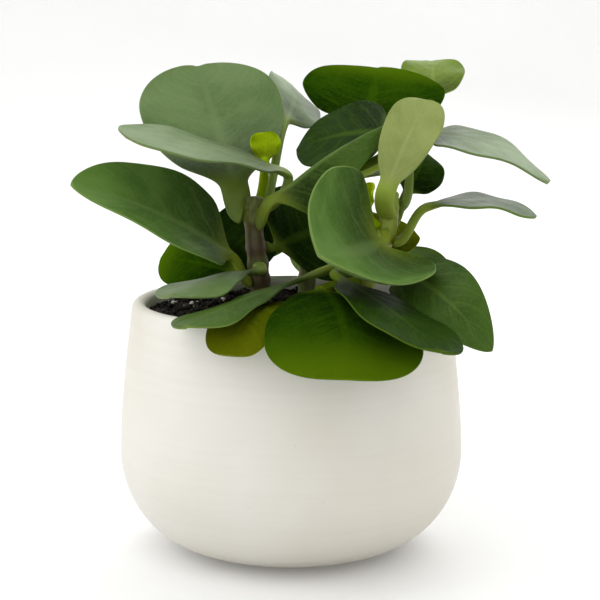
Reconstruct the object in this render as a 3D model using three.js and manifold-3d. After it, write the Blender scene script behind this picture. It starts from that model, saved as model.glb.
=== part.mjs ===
// Potted peperomia: a round white pot, its soil, three stems and their fleshy leaves.
// Millimetres, +Z up. The origin is the middle of the pot's flat base, and -Y is the front.
import * as THREE from "three";
import Module from "manifold-3d";
import { mergeVertices } from "three/addons/utils/BufferGeometryUtils.js";

const wasm = await Module();
wasm.setup();

// Pot
const BASE_RADIUS = 29.5;
const BELLY_RADIUS = 60;
const BELLY_HEIGHT = 34.3;
const RIM_RADIUS = 55;
const POT_HEIGHT = 86.6;
const WALL = 4.8;
const FLOOR = 6;
const SHOULDER_POWER = 1.5;
const LOWER_STEPS = 8;
const UPPER_STEPS = 5;
const RIM_STEPS = 6;
const POT_SIDES = 48;

// Soil
const SOIL_TOP = 81.5;
const SOIL_MOUND = 3.5;
const MOUND_RADIUS = 26;
const CRUMB = 0.8;
const COARSE_WAVE = [0.31, 0.27];
const FINE_WAVE = [0.83, 0.92];
const FINE_SHARE = 0.6;
const SOIL_SIDES = 36;
const SOIL_RINGS = 6;
const HOLE_DEPTH = 16;
const HOLE_SIDES = 16;
const GAP = 0.3;

// Leaves and stems
const BLADE = 1;
const MARGIN = 0.8;
const RIB = 1.1;
const PETIOLE_RADIUS = 1.6;
const PETIOLE_EDGE = 0.4;
const OUTLINE_POWER = 1.06;
const WIDEST = 0.57;
const LAST_RING = 0.988;
const RING_POWER = 1.25;
const NECK = 0.2;
const PETIOLE_RINGS = 3;
const BLADE_RINGS = 8;
const COLUMNS = [-1, -0.64, -0.3, 0, 0.3, 0.64, 1];
const STEM_SIDES = 10;
const STEM_RINGS = 12;

// Tolerances, the least curl first, in radians, then lengths in millimetres and a curve's fraction
const LEAST_CUP = 1e-6;
const MERGE_DISTANCE = 1e-4;
const SURFACE_BAND = 1e-3;
const SEARCH_STEP = 1e-4;

// Each stem is a row of points on its middle line, from its foot in the soil to its tip.
const STEMS = {
  left: { radius: 3.7, tipRadius: 3.1, line: [[-10, 4, 72], [-11, 4, 92], [-13, 4, 112], [-12.5, 4.5, 122]] },
  right: { radius: 3.4, tipRadius: 3, line: [[22, 4, 72], [26, 4, 92], [33, 5, 108], [35, 7, 124]] },
  back: { radius: 3.2, tipRadius: 2.2, line: [[5, 32, 72], [6, 34, 94], [10, 35, 116], [16, 35, 134]] },
};

// Each leaf leaves its stem at the height "at". Its midrib runs from base to tip and rises by
// "rise" over the straight line, most near the fraction "crest". "face" is where its upper side
// looks. Both halves lift by "fold" and curl by "cup", in degrees. A few leaves also state
// "widest", the fraction of the midrib where the blade is widest, "twist", the degrees that the
// blade turns from base to tip, "relax", the share of its curl that it loses towards the tip,
// "sheath", the petiole's half-width where it meets the blade, and "flare", that at the stem.
const LEAVES = [
  { name: "leaf_left_broad", stem: "left", at: 93, base: [-20, -1, 101], tip: [-73, -22, 129],
    rise: 3, crest: 0.45, face: [0.3, -0.45, 0.85], width: 45, fold: 11, cup: 8, widest: 0.4,
    flare: 3.4, sheath: 2.4 },
  { name: "leaf_left_upright", stem: "left", at: 115.5, base: [-19.6, 8.8, 124], tip: [-35, 45, 166],
    rise: 2, crest: 0.5, face: [0.04, -0.61, 0.79], width: 52, fold: 0, cup: 6, widest: 0.6,
    flare: 4.5, sheath: 5 },
  { name: "leaf_left_silver", stem: "left", at: 117.5, base: [-2, 9.5, 129.5], tip: [-54.5, -23, 144.5],
    rise: 2.5, crest: 0.5, face: [0.21, -0.15, 0.96], width: 38, fold: 0, cup: 0, sheath: 3.6,
    widest: 0.68, flare: 3.2 },
  { name: "leaf_left_bud", stem: "left", at: 120, base: [-9.2, 13.9, 133.4], tip: [-9, 19, 143],
    rise: 0, crest: 0.5, face: [0, -1, 0.4], width: 11.5, fold: 10, cup: 20 },
  { name: "leaf_left_low", stem: "left", at: 92, base: [-18, 15, 92.5], tip: [-48, 37, 95.5],
    rise: 3, crest: 0.5, face: [-0.13, -0.86, 0.49], width: 22, fold: 0, cup: 5 },
  { name: "leaf_front_left", stem: "left", at: 98, base: [-10.5, -5.5, 97], tip: [-40, -36, 93],
    rise: 2, crest: 0.5, face: [0.02, 0.11, 0.99], width: 31, fold: -4, cup: -5, widest: 0.69,
    flare: 2.4 },
  { name: "leaf_centre", stem: "left", at: 114, base: [-7, -7, 121.3], tip: [32.8, 8, 146],
    rise: 3, crest: 0.5, face: [0.11, -0.32, 0.94], width: 33, fold: -49, cup: -5, widest: 0.2,
    flare: 4, sheath: 2.6 },
  { name: "leaf_centre_low", stem: "left", at: 104, base: [-6, 10, 103], tip: [16, 27, 108],
    rise: 2, crest: 0.5, face: [0, -0.8, 0.6], width: 46, fold: 0, cup: 0 },
  { name: "leaf_front_edge", stem: "right", at: 99, base: [11.5, -8, 97.5], tip: [-32.5, -60.5, 87.5],
    rise: 1, crest: 0.72, face: [-0.05, 0.12, 0.99], width: 27, fold: -3, cup: -4, widest: 0.74 },
  { name: "leaf_front_olive", stem: "right", at: 87, base: [-1, -21, 87.5], tip: [-18.5, -63, 78.5],
    rise: 7.5, crest: 0.74, face: [-0.01, -0.07, 1], width: 22, fold: 0, cup: 0, widest: 0.74 },
  { name: "leaf_front_broad", stem: "right", at: 91.5, base: [9.5, -14, 91.5], tip: [18, -73, 73],
    rise: 10.5, crest: 0.72, face: [0.11, -0.32, 0.94], width: 51, fold: -4, cup: -4, widest: 0.73 },
  { name: "leaf_front_right", stem: "right", at: 95, base: [15.5, -23.5, 97.5], tip: [46, -73.5, 82],
    rise: 1.5, crest: 0.5, face: [0.27, -0.04, 0.96], width: 34, fold: 0, cup: 0, widest: 0.69 },
  { name: "leaf_right_broad", stem: "right", at: 99, base: [36, -6, 95.5], tip: [66, -37.5, 75],
    rise: 11.5, crest: 0.5, face: [0.01, -0.85, 0.52], width: 25, fold: 6, cup: 4, widest: 0.49 },
  { name: "leaf_curled", stem: "right", at: 109, base: [32, -4, 107], tip: [9, -57, 109.5],
    rise: -3, crest: 0.5, face: [0.74, -0.08, 0.67], width: 62, fold: 4, cup: 72, relax: 0.59,
    widest: 0.43, flare: 2.2 },
  { name: "leaf_right_pale", stem: "right", at: 115, base: [32.5, -5, 124.5], tip: [47.5, 12.5, 154.5],
    rise: 3, crest: 0.5, face: [0.01, -0.65, 0.76], width: 20, fold: 4, cup: 0, widest: 0.67,
    flare: 3.4, sheath: 3.4 },
  { name: "leaf_right_shaded", stem: "back", at: 129, base: [37.5, 24, 142.5], tip: [2, 34.5, 135.5],
    rise: 3, crest: 0.5, face: [-0.08, -0.48, 0.88], width: 43, fold: 0, cup: 0, widest: 0.44 },
  { name: "leaf_right_long", stem: "right", at: 118, base: [46, 14, 142], tip: [89, 0, 127],
    rise: 5, crest: 0.45, face: [0.1, -0.14, 0.99], width: 34, fold: 0, cup: 0, twist: -19,
    widest: 0.49, flare: 3.6 },
  { name: "leaf_right_thin", stem: "right", at: 107, base: [47, 4, 118], tip: [85, 2, 115],
    rise: 4, crest: 0.5, face: [0, -0.02, 1], width: 39, fold: 0, cup: 0, flare: 5, sheath: 3 },
  { name: "leaf_right_behind", stem: "right", at: 97, base: [31, 20, 99], tip: [33, 50, 110],
    rise: 3, crest: 0.5, face: [0.3, -0.7, 0.7], width: 30, fold: 0, cup: 0 },
  { name: "leaf_right_small", stem: "right", at: 112, base: [40.8, 17.3, 121.3], tip: [48.5, 29.3, 134.8],
    rise: 2, crest: 0.5, face: [0.4, -0.6, 0.7], width: 19.5, fold: 0, cup: 0 },
  { name: "leaf_right_bud", stem: "right", at: 111, base: [27, 2, 116], tip: [28, 1, 127],
    rise: 0, crest: 0.5, face: [-0.8, -0.6, 0], width: 8, fold: 20, cup: 20 },
  { name: "leaf_top_dark", stem: "back", at: 132, base: [28, 46, 142], tip: [33, 76, 164],
    rise: 3, crest: 0.5, face: [0, -0.7, 0.7], width: 54, fold: 0, cup: 0 },
  { name: "leaf_top_young", stem: "back", at: 126, base: [53.5, 66, 152], tip: [55, 88, 166],
    rise: 2, crest: 0.5, face: [0, -0.48, 0.88], width: 25, fold: 9, cup: 0 },
  { name: "leaf_top_left", stem: "left", at: 113.5, base: [-2.5, 33.5, 145.5], tip: [0.5, 81.5, 156],
    rise: 3, crest: 0.5, face: [0.41, -0.85, 0.34], width: 26, fold: 0, cup: 0 },
  { name: "leaf_back_left", stem: "back", at: 108, base: [-6, 32, 114], tip: [-25, 29, 96.5],
    rise: 2, crest: 0.5, face: [0, -0.95, 0.3], width: 26, fold: 0, cup: 5 },
  { name: "leaf_back_right", stem: "back", at: 94, base: [20, 44, 96], tip: [60, 60, 78],
    rise: 8, crest: 0.5, face: [0.2, 0.3, 1], width: 40, fold: 0, cup: 5 },
  { name: "leaf_back_high", stem: "back", at: 118, base: [20, 50, 122], tip: [38, 90, 124],
    rise: 5, crest: 0.5, face: [0, 0, 1], width: 42, fold: 0, cup: 5 },
  { name: "leaf_back_low_left", stem: "back", at: 99, base: [-3, 40, 100], tip: [-16, 66, 90],
    rise: 9, crest: 0.6, face: [-0.2, 0.3, 1], width: 44, fold: 0, cup: 0 },
  { name: "leaf_back_low_right", stem: "back", at: 88, base: [10, 46, 91], tip: [20, 76, 76],
    rise: 9, crest: 0.6, face: [0.1, 0.3, 1], width: 38, fold: 0, cup: 0 },
];

// Joins rings of points into one closed skin. Each ring runs along its upper side and back
// along its lower side. Both sides are split along the same diagonals, so thin skins hold.
function skin(rings) {
  const size = rings[0].length;
  const half = size / 2;
  const positions = rings.flat().flatMap((point) => point.toArray());
  const index = [];
  for (let ring = 0; ring < rings.length - 1; ring += 1) {
    for (let i = 0; i < size; i += 1) {
      const a = ring * size + i;
      const b = ring * size + ((i + 1) % size);
      const c = a + size;
      const d = b + size;
      if (i < half) {
        index.push(a, d, c, a, b, d);
      } else {
        index.push(a, b, c, c, b, d);
      }
    }
  }
  const last = (rings.length - 1) * size;
  for (let i = 0; i < half - 1; i += 1) {
    const a = i;
    const b = i + 1;
    const c = size - 1 - i;
    const d = size - 2 - i;
    index.push(a, c, b, b, c, d);
    index.push(last + a, last + b, last + c, last + b, last + d, last + c);
  }
  const geometry = new THREE.BufferGeometry();
  geometry.setAttribute("position", new THREE.Float32BufferAttribute(positions, 3));
  geometry.setIndex(index);
  return geometry;
}

function vector(point) {
  return new THREE.Vector3(...point);
}

// The part of a direction that is square to an axis, at unit length.
function square(direction, axis) {
  return direction.clone().addScaledVector(axis, -direction.dot(axis)).normalize();
}

function smooth(value) {
  const t = Math.min(Math.max(value, 0), 1);
  return t * t * (3 - 2 * t);
}

// Stems
function stemCurve(stem) {
  return new THREE.CatmullRomCurve3(stem.line.map(vector));
}

function stemGeometry(stem) {
  const curve = stemCurve(stem);
  const rings = [];
  for (let i = 0; i <= STEM_RINGS; i += 1) {
    const t = i / STEM_RINGS;
    const centre = curve.getPoint(t);
    const along = curve.getTangent(t);
    const side = square(new THREE.Vector3(1, 0, 0), along);
    const front = side.clone().cross(along);
    const radius = stemRadius(stem, t);
    const ring = [];
    for (let k = 0; k < STEM_SIDES; k += 1) {
      const angle = (2 * Math.PI * (k + 0.5)) / STEM_SIDES;
      const across = side.clone().multiplyScalar(radius * Math.cos(angle));
      ring.push(across.addScaledVector(front, -radius * Math.sin(angle)).add(centre));
    }
    rings.push(ring);
  }
  return skin(rings);
}

function stemRadius(stem, t) {
  return THREE.MathUtils.lerp(stem.radius, stem.tipRadius, smooth(t));
}

// A stem's middle, direction and radius at a height.
function stemAt(stem, height) {
  const curve = stemCurve(stem);
  let low = 0;
  let high = 1;
  while (high - low > SEARCH_STEP) {
    const middle = (low + high) / 2;
    if (curve.getPoint(middle).z < height) {
      low = middle;
    } else {
      high = middle;
    }
  }
  return { middle: curve.getPoint(low), along: curve.getTangent(low), radius: stemRadius(stem, low) };
}

// Leaves
function halfWidth(leaf, s) {
  const widest = leaf.widest ?? WIDEST;
  const rising = (s / widest) ** (OUTLINE_POWER * widest);
  const falling = ((1 - s) / (1 - widest)) ** (OUTLINE_POWER * (1 - widest));
  return 0.5 * leaf.width * rising * falling;
}

function leafLines(leaf) {
  const base = vector(leaf.base);
  const tip = vector(leaf.tip);
  const chord = tip.clone().sub(base);
  const up = square(vector(leaf.face), chord.clone().normalize());
  const top = base.clone().addScaledVector(chord, leaf.crest).addScaledVector(up, 2 * leaf.rise);
  const midrib = new THREE.QuadraticBezierCurve3(base, top, tip);
  const { middle, along, radius } = stemAt(STEMS[leaf.stem], leaf.at);
  const away = square(base.clone().sub(middle), along);
  const foot = middle.clone().addScaledVector(away, radius + GAP);
  const reach = foot.distanceTo(base) / 3;
  const petiole = new THREE.CubicBezierCurve3(
    foot,
    foot.clone().addScaledVector(away, reach),
    base.clone().addScaledVector(midrib.getTangent(0), -reach),
    base,
  );
  return { petiole, midrib };
}

// One cross-section: a round petiole that opens into a thin, folded and cupped blade.
function section(leaf, s, neck, centre, along, normal) {
  const side = along.clone().cross(normal);
  const open = smooth(s / NECK);
  const width = Math.max(halfWidth(leaf, s), neck);
  const fold = THREE.MathUtils.degToRad(leaf.fold);
  const cup = THREE.MathUtils.degToRad(leaf.cup) * (1 - (leaf.relax ?? 0) * s * s) + LEAST_CUP;
  const upper = [];
  const lower = [];
  for (const u of COLUMNS) {
    const turn = fold + cup * Math.abs(u);
    const out = (Math.sign(u) * (width * (Math.sin(turn) - Math.sin(fold)))) / cup;
    const lift = (width * (Math.cos(fold) - Math.cos(turn))) / cup;
    const lean = u === 0 ? 0 : -Math.sign(u) * Math.sin(turn);
    const thick = 0.5 * THREE.MathUtils.lerp(BLADE, MARGIN, Math.abs(u));
    const rib = RIB * (1 - s) * (u === 0 ? 1 : 0);
    const roundOut = neck * Math.sin((u * Math.PI) / 2);
    const roundUp = Math.max(PETIOLE_RADIUS * Math.cos((u * Math.PI) / 2), PETIOLE_EDGE);
    for (const [row, sign, extra] of [[upper, 1, 0], [lower, -1, rib]]) {
      const flatOut = out + sign * thick * lean;
      const flatUp = lift + sign * (thick * Math.cos(u === 0 ? 0 : turn) + extra);
      const x = THREE.MathUtils.lerp(roundOut, flatOut, open);
      const z = THREE.MathUtils.lerp(sign * roundUp, flatUp, open);
      row.push(centre.clone().addScaledVector(side, x).addScaledVector(normal, z));
    }
  }
  return [...upper, ...lower.reverse()];
}

function leafGeometry(leaf) {
  const { petiole, midrib } = leafLines(leaf);
  const face = vector(leaf.face);
  const chord = vector(leaf.tip).sub(vector(leaf.base)).normalize();
  const sheath = leaf.sheath ?? PETIOLE_RADIUS;
  const rings = [];
  for (let i = 0; i <= BLADE_RINGS; i += 1) {
    const s = LAST_RING * Math.sin((0.5 * Math.PI * i) / BLADE_RINGS) ** RING_POWER;
    const along = midrib.getTangent(s);
    const turn = THREE.MathUtils.degToRad(leaf.twist ?? 0) * (s - 0.5);
    const normal = square(face.clone().applyAxisAngle(chord, turn), along);
    rings.push(section(leaf, s, sheath, midrib.getPoint(s), along, normal));
  }
  let normal = square(face, midrib.getTangent(0));
  for (let i = PETIOLE_RINGS - 1; i >= 0; i -= 1) {
    const t = i / PETIOLE_RINGS;
    const along = petiole.getTangent(t);
    const neck = THREE.MathUtils.lerp(leaf.flare ?? PETIOLE_RADIUS, sheath, smooth(t));
    normal = square(normal, along);
    rings.unshift(section(leaf, 0, neck, petiole.getPoint(t), along, normal));
  }
  return skin(rings);
}

// Pot
function wallRadius(height) {
  if (height < BELLY_HEIGHT) {
    const drop = 1 - height / BELLY_HEIGHT;
    return BASE_RADIUS + (BELLY_RADIUS - BASE_RADIUS) * Math.sqrt(1 - drop * drop);
  }
  const rise = (height - BELLY_HEIGHT) / (POT_HEIGHT - BELLY_HEIGHT);
  return BELLY_RADIUS - (BELLY_RADIUS - RIM_RADIUS) * rise ** SHOULDER_POWER;
}

// The heights of an outline's points, close together where the wall turns fastest.
function wallHeights(bottom, top) {
  const heights = [];
  for (let i = 0; i <= LOWER_STEPS; i += 1) {
    heights.push(bottom + (BELLY_HEIGHT - bottom) * (1 - Math.cos((0.5 * Math.PI * i) / LOWER_STEPS)));
  }
  for (let i = 1; i <= UPPER_STEPS; i += 1) {
    heights.push(BELLY_HEIGHT + ((top - BELLY_HEIGHT) * i) / UPPER_STEPS);
  }
  return heights;
}

function potGeometry() {
  const lip = WALL / 2;
  const lipHeight = POT_HEIGHT - lip;
  const outside = wallHeights(0, lipHeight).map((z) => new THREE.Vector2(wallRadius(z), z));
  const inside = wallHeights(FLOOR, lipHeight).map((z) => new THREE.Vector2(wallRadius(z) - WALL, z));
  const middle = wallRadius(lipHeight) - lip;
  const rim = [];
  for (let i = 1; i < RIM_STEPS; i += 1) {
    const angle = (Math.PI * i) / RIM_STEPS;
    rim.push(new THREE.Vector2(middle + lip * Math.cos(angle), lipHeight + lip * Math.sin(angle)));
  }
  const axisBottom = new THREE.Vector2(0, 0);
  const axisTop = new THREE.Vector2(0, FLOOR);
  const profile = [axisBottom, ...outside, ...rim, ...inside.reverse(), axisTop];
  return new THREE.LatheGeometry(profile, POT_SIDES).rotateX(Math.PI / 2);
}

// Soil
function soilHeight(x, y) {
  const radius = Math.hypot(x, y);
  const mound = SOIL_MOUND * Math.exp(-((radius / MOUND_RADIUS) ** 2));
  const coarse = Math.sin(COARSE_WAVE[0] * x) * Math.cos(COARSE_WAVE[1] * y);
  const fine = Math.sin(FINE_WAVE[0] * x - FINE_WAVE[1] * y);
  return SOIL_TOP + mound + CRUMB * (coarse + FINE_SHARE * fine);
}

function soilBody() {
  const edge = wallRadius(SOIL_TOP) - WALL - GAP;
  const wall = wallHeights(FLOOR + GAP, SOIL_TOP).map(
    (z) => new THREE.Vector2(wallRadius(z) - WALL - GAP, z),
  );
  const top = [];
  for (let i = SOIL_RINGS - 1; i > 0; i -= 1) {
    top.push(new THREE.Vector2((edge * i) / SOIL_RINGS, SOIL_TOP));
  }
  const profile = [new THREE.Vector2(0, FLOOR + GAP), ...wall, ...top, new THREE.Vector2(0, SOIL_TOP)];
  const geometry = new THREE.LatheGeometry(profile, SOIL_SIDES).rotateX(Math.PI / 2);
  const position = geometry.getAttribute("position");
  for (let i = 0; i < position.count; i += 1) {
    if (position.getZ(i) > SOIL_TOP - SURFACE_BAND) {
      position.setZ(i, soilHeight(position.getX(i), position.getY(i)));
    }
  }
  return geometry;
}

function solid(geometry) {
  const plain = geometry.clone();
  plain.deleteAttribute("normal");
  plain.deleteAttribute("uv");
  const merged = mergeVertices(plain, MERGE_DISTANCE);
  return new wasm.Manifold(
    new wasm.Mesh({
      numProp: 3,
      vertProperties: new Float32Array(merged.getAttribute("position").array),
      triVerts: new Uint32Array(merged.index.array),
    }),
  );
}

function fromSolid(body) {
  const { vertProperties, triVerts } = body.getMesh();
  const geometry = new THREE.BufferGeometry();
  geometry.setAttribute("position", new THREE.BufferAttribute(vertProperties, 3));
  geometry.setIndex(new THREE.BufferAttribute(triVerts, 1));
  return geometry;
}

// The soil with a plain hole round the foot of each stem.
function soilGeometry() {
  let body = solid(soilBody());
  for (const stem of Object.values(STEMS)) {
    const [foot, next] = stem.line.map(vector);
    const along = next.clone().sub(foot).normalize();
    const hole = new THREE.CylinderGeometry(1, 1, 2 * HOLE_DEPTH, HOLE_SIDES);
    const radius = stem.radius + 2 * GAP;
    hole.scale(radius, 1, radius);
    hole.translate(0, HOLE_DEPTH - GAP, 0);
    hole.applyQuaternion(new THREE.Quaternion().setFromUnitVectors(new THREE.Vector3(0, 1, 0), along));
    hole.translate(...stem.line[0]);
    body = body.subtract(solid(hole));
  }
  return fromSolid(body);
}

// Colours and nodes
const CERAMIC = new THREE.MeshStandardMaterial({ color: 0xe4e2db, roughness: 0.75 });
const EARTH = new THREE.MeshStandardMaterial({ color: 0x241c15, roughness: 1 });
const STEM_GREEN = new THREE.MeshStandardMaterial({ color: 0x6f7d2c, roughness: 0.5 });
const LEAF_GREEN = new THREE.MeshStandardMaterial({ color: 0x3f6b1f, roughness: 0.35 });

const plant = new THREE.Group();

function add(name, geometry, material) {
  const mesh = new THREE.Mesh(geometry, material);
  mesh.name = name;
  plant.add(mesh);
}

add("pot", potGeometry(), CERAMIC);
add("soil", soilGeometry(), EARTH);
for (const [name, stem] of Object.entries(STEMS)) {
  add(`stem_${name}`, stemGeometry(stem), STEM_GREEN);
}
for (const leaf of LEAVES) {
  add(leaf.name, leafGeometry(leaf), LEAF_GREEN);
}

export default plant;
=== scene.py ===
# %% [markdown]
# A potted peperomia, modelled in Blender.
#
# The plant stands in a round matte pot. Its solid model already gives every piece its place and
# size. This lesson replaces each plain solid with a finer mesh of the same form, and gives it a
# finish. The first step loads the solids. They are the frame that every new piece is fitted to.

# %% Load the frame
import math
import random

import bpy
from mathutils import Matrix, Vector, noise


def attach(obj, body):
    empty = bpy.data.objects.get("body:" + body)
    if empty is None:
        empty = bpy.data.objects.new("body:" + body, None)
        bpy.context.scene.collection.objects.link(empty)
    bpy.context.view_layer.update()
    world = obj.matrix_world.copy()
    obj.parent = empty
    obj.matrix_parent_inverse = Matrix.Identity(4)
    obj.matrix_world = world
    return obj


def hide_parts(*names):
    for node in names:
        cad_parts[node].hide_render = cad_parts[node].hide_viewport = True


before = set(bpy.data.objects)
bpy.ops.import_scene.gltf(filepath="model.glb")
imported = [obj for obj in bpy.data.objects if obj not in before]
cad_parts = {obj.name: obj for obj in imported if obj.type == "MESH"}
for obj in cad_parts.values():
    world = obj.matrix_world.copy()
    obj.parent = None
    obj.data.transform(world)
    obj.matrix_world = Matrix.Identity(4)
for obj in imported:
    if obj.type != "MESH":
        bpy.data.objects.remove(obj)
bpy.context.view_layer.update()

print("solids loaded:", len(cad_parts))

# %% [markdown]
# The photograph was taken from nearly the height of the leaves with a long lens, which keeps the
# pot's sides almost straight. A camera needs three things for that: its distance, its tilt and its
# focal length. The focal length is known in pixels of the photograph, and the width of the picture
# and of the camera's sensor turn it into millimetres.

# %% Camera
PHOTO_WIDTH = 600
FOCAL_PIXELS = 1720
SENSOR_MM = 36
CAMERA_DISTANCE = 0.600
CAMERA_TILT = math.radians(9.4)
CAMERA_TARGET = Vector((0.0031, 0, 0.086))

toward_camera = Vector((0, -math.cos(CAMERA_TILT), math.sin(CAMERA_TILT)))
bpy.ops.object.camera_add(
    location=CAMERA_TARGET + CAMERA_DISTANCE * toward_camera,
    rotation=(math.pi / 2 - CAMERA_TILT, 0, 0),
)
camera = bpy.context.object
camera.data.sensor_width = SENSOR_MM
camera.data.lens = SENSOR_MM * FOCAL_PIXELS / PHOTO_WIDTH
bpy.context.scene.camera = camera
print("lens:", round(camera.data.lens, 1), "mm")

# %% [markdown]
# A pale sweep stands in for the studio: a floor that curves up into a wall, so no horizon shows.
# It is one plane whose far edge is extruded upwards, and the corner is rounded with a bevel.

# %% Studio sweep
SWEEP_HALF = 2.4
SWEEP_BACK = 1.9
SWEEP_HEIGHT = 2.4
SWEEP_CURVE = 0.7
SWEEP_SEGMENTS = 24
EDGE_SLACK = 0.01


def select_where(mesh, test):
    """Selects the edges of a mesh, in edge mode, whose two ends both pass a test on their place."""
    for edge in mesh.edges:
        edge.select = all(test(mesh.vertices[i].co) for i in edge.vertices)
    for vertex in mesh.vertices:
        vertex.select = False
    for edge in mesh.edges:
        for i in edge.vertices:
            mesh.vertices[i].select = mesh.vertices[i].select or edge.select


def is_far(place):
    """Whether a point lies on the sweep's far edge."""
    return place.y > SWEEP_BACK - EDGE_SLACK


bpy.ops.object.select_all(action="DESELECT")
bpy.ops.mesh.primitive_plane_add(size=2 * SWEEP_HALF, location=(0, SWEEP_BACK - SWEEP_HALF, 0))
sweep = bpy.context.object
sweep.name = "studio_sweep"
bpy.ops.object.transform_apply(location=True)
bpy.context.tool_settings.mesh_select_mode = (False, True, False)
select_where(sweep.data, is_far)
bpy.ops.object.mode_set(mode="EDIT")
bpy.ops.mesh.extrude_region_move(TRANSFORM_OT_translate={"value": (0, 0, SWEEP_HEIGHT)})
bpy.ops.object.mode_set(mode="OBJECT")
select_where(sweep.data, lambda place: is_far(place) and place.z < EDGE_SLACK)
bpy.ops.object.mode_set(mode="EDIT")
bpy.ops.mesh.bevel(offset=SWEEP_CURVE, segments=SWEEP_SEGMENTS, affect="EDGES")
bpy.ops.object.mode_set(mode="OBJECT")
bpy.ops.object.shade_smooth()
print("sweep faces:", len(sweep.data.polygons))

# %% [markdown]
# The light is soft and comes from all round: one wide panel overhead, one behind the plant, one at
# each side, and a weak one in front on the left. Leaves that lie flat mirror the wide panels,
# which gives them their silvery sheen. The pot is brighter at its sides, so the front is lit
# least.

# %% Lights
PANELS = {
    "key": {"place": (-0.45, -0.25, 1.25), "size": 1.2, "watts": 5.0},
    "back": {"place": (0.40, 0.95, 0.80), "size": 1.0, "watts": 4.8},
    "left": {"place": (-1.10, 0.20, 0.45), "size": 0.8, "watts": 1.7},
    "right": {"place": (1.15, 0.30, 0.45), "size": 0.8, "watts": 1.5},
    "front": {"place": (-0.90, -0.85, 0.35), "size": 0.9, "watts": 0.9},
}
LIGHT_AIM = Vector((0, 0, 0.08))
SURROUND = 0.14

for title, panel in PANELS.items():
    place = Vector(panel["place"])
    turn = (place - LIGHT_AIM).to_track_quat("Z", "Y").to_euler()
    bpy.ops.object.light_add(type="AREA", location=place, rotation=turn)
    light = bpy.context.object
    light.name = "panel_" + title
    light.data.size = panel["size"]
    light.data.energy = panel["watts"]

world = bpy.data.worlds.new("surround")
world.use_nodes = True
background = world.node_tree.nodes["Background"].inputs
background["Color"].default_value = (1, 1, 1, 1)
background["Strength"].default_value = SURROUND
bpy.context.scene.world = world
bpy.context.scene.view_settings.view_transform = "Standard"
print("light panels:", len(PANELS))

# %% [markdown]
# Every finish below is built from nodes in code. Two helpers keep that short: one adds a node with
# its settings and values, and one adds a Math node and returns its result. Colours are written as
# they look on a screen, from 0 to 255, and are turned into the linear values that nodes use.

# %% Helpers for nodes


def colour(red, green, blue):
    """A screen colour, 0 to 255, as the linear colour that a node takes."""
    linear = []
    for value in (red, green, blue):
        share = value / 255
        linear.append(share / 12.92 if share < 0.04045 else ((share + 0.055) / 1.055) ** 2.4)
    return (*linear, 1)


def put(socket, value, tree):
    """Links a socket to another one, or gives it a plain value."""
    if isinstance(value, bpy.types.NodeSocket):
        tree.links.new(value, socket)
    else:
        socket.default_value = value


def add(tree, kind, values=None, **settings):
    """Adds a node of one kind, with its settings, and its inputs by name or number."""
    node = tree.nodes.new(kind)
    for name, value in settings.items():
        setattr(node, name, value)
    for name, value in (values or {}).items():
        put(node.inputs[name], value, tree)
    return node


def maths(tree, operation, first, second=0.0):
    """The result of a Math node."""
    return add(tree, "ShaderNodeMath", {0: first, 1: second}, operation=operation).outputs[0]


print("node helpers ready")

# %% [markdown]
# Most surfaces on a plant or a pot vary softly, so three more helpers are used all the time: fade
# turns a value into a smooth step, mix blends two colours, and grain gives a noise texture. The
# noise stays mostly between 0.3 and 0.7, and uneven stretches that part of it over a new range.

# %% Helpers for soft patterns
NOISE_LOW = 0.3
NOISE_HIGH = 0.7


def fade(tree, value, start, end, low=0.0, high=1.0):
    """A value's smooth step, from low at start to high at end."""
    values = {"Value": value, "From Min": start, "From Max": end, "To Min": low, "To Max": high}
    step = add(tree, "ShaderNodeMapRange", values, interpolation_type="SMOOTHSTEP")
    return step.outputs["Result"]


def mix(tree, share, first, second):
    """A mix of two colours."""
    node = add(tree, "ShaderNodeMix", data_type="RGBA")
    put(node.inputs["Factor"], share, tree)
    put(node.inputs[6], first, tree)
    put(node.inputs[7], second, tree)
    return node.outputs[2]


def grain(tree, scale, detail=2.0, place=None):
    """The value of a noise texture over the object, or over another place."""
    if place is None:
        place = add(tree, "ShaderNodeTexCoord").outputs["Object"]
    values = {"Vector": place, "Scale": scale, "Detail": detail}
    return add(tree, "ShaderNodeTexNoise", values).outputs["Fac"]


def uneven(tree, scale, low=0.0, high=1.0):
    """A value that drifts from low to high over the object."""
    return fade(tree, grain(tree, scale), NOISE_LOW, NOISE_HIGH, low, high)


print("pattern helpers ready")

# %% [markdown]
# A finish that several materials share is a node group with named inputs and outputs. The group
# works out the colour, the roughness and the height of the surface, and each material feeds it its
# own colours and puts what comes out on a shader. The height goes through a Bump node.

# %% Helpers for finishes


def new_group(name, colours=(), numbers=(), results=()):
    """An empty node group with named inputs and outputs, and its two end nodes."""
    tree = bpy.data.node_groups.new(name, "ShaderNodeTree")
    for title in colours:
        tree.interface.new_socket(title, in_out="INPUT", socket_type="NodeSocketColor")
    for title in numbers:
        tree.interface.new_socket(title, in_out="INPUT", socket_type="NodeSocketFloat")
    for title in results:
        kind = "NodeSocketColor" if title == "Color" else "NodeSocketFloat"
        tree.interface.new_socket(title, in_out="OUTPUT", socket_type=kind)
    return tree, add(tree, "NodeGroupInput").outputs, add(tree, "NodeGroupOutput").inputs


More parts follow.
